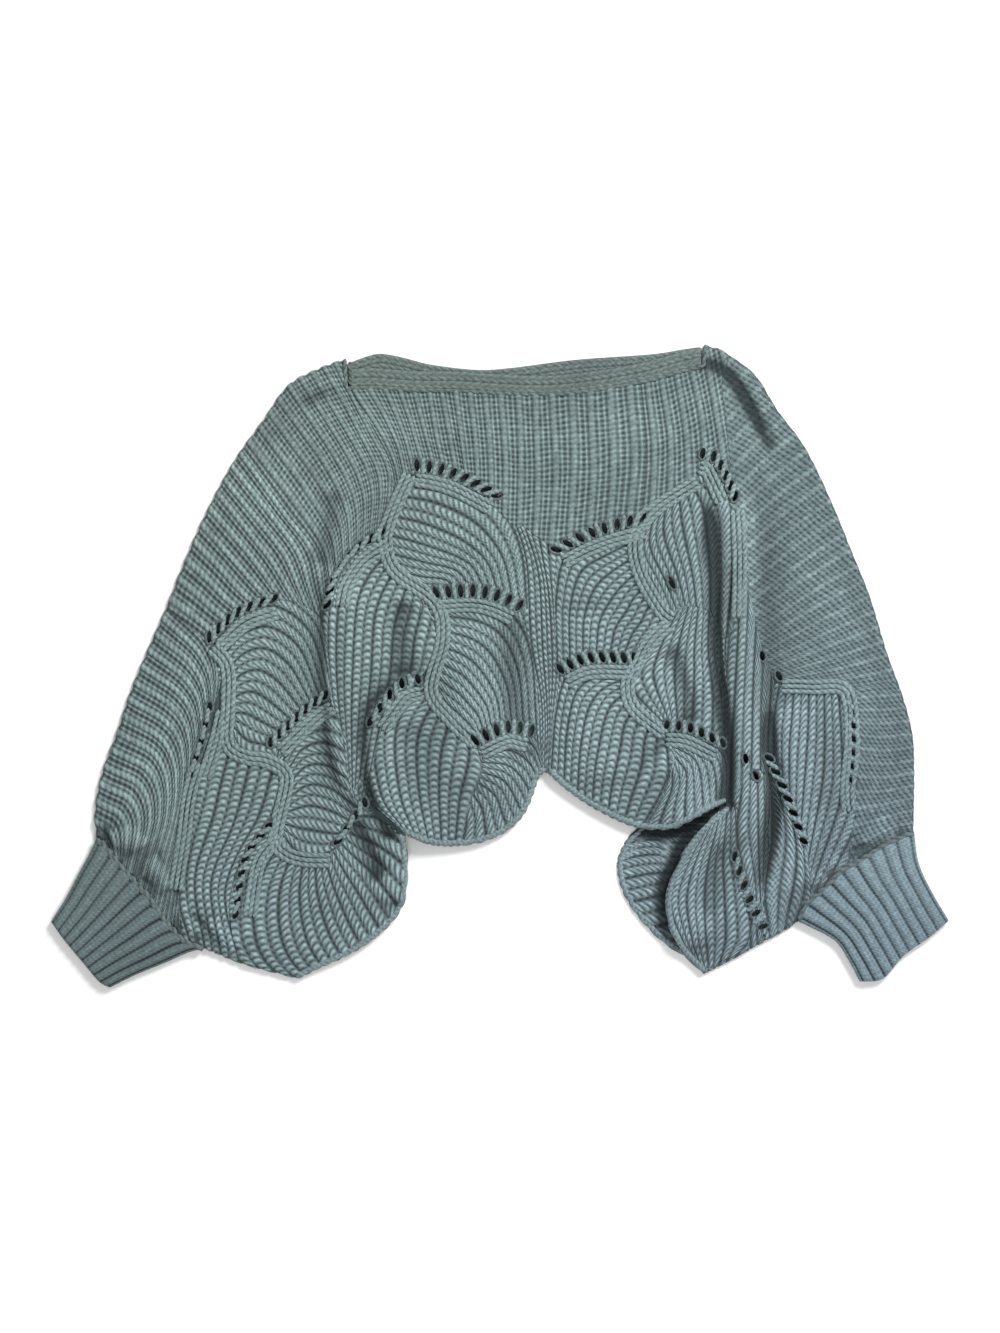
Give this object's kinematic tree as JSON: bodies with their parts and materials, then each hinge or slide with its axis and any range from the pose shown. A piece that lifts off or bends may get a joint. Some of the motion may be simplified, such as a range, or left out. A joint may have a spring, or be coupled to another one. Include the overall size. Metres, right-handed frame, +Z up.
{
  "type": "cropped open-knit sweater",
  "caption": "Cropped wide-neck knitted sweater laid flat, with a lobed openwork front, a scalloped hem and ribbed cuffs.",
  "frame": {"origin": "centre of the bounding box's underside, on the surface that the sweater lies on", "axes": "+X from one cuff to the other, +Y from the hem to the neck, +Z up, out of the front panel"},
  "size_m": [0.7892, 0.5646, 0.0235],
  "materials": {
    "panel_knit": "chunky half-fisherman rib in sage blue yarn",
    "band_knit": "plain knitted band in sage blue yarn",
    "cuff_rib": "fine knitted rib in sage blue yarn"
  },
  "bodies": {
    "root": {"front_panel": "panel_knit", "back_panel": "panel_knit", "neckband": "band_knit", "cuff_left": "cuff_rib", "cuff_right": "cuff_rib"}
  },
  "joints": []
}
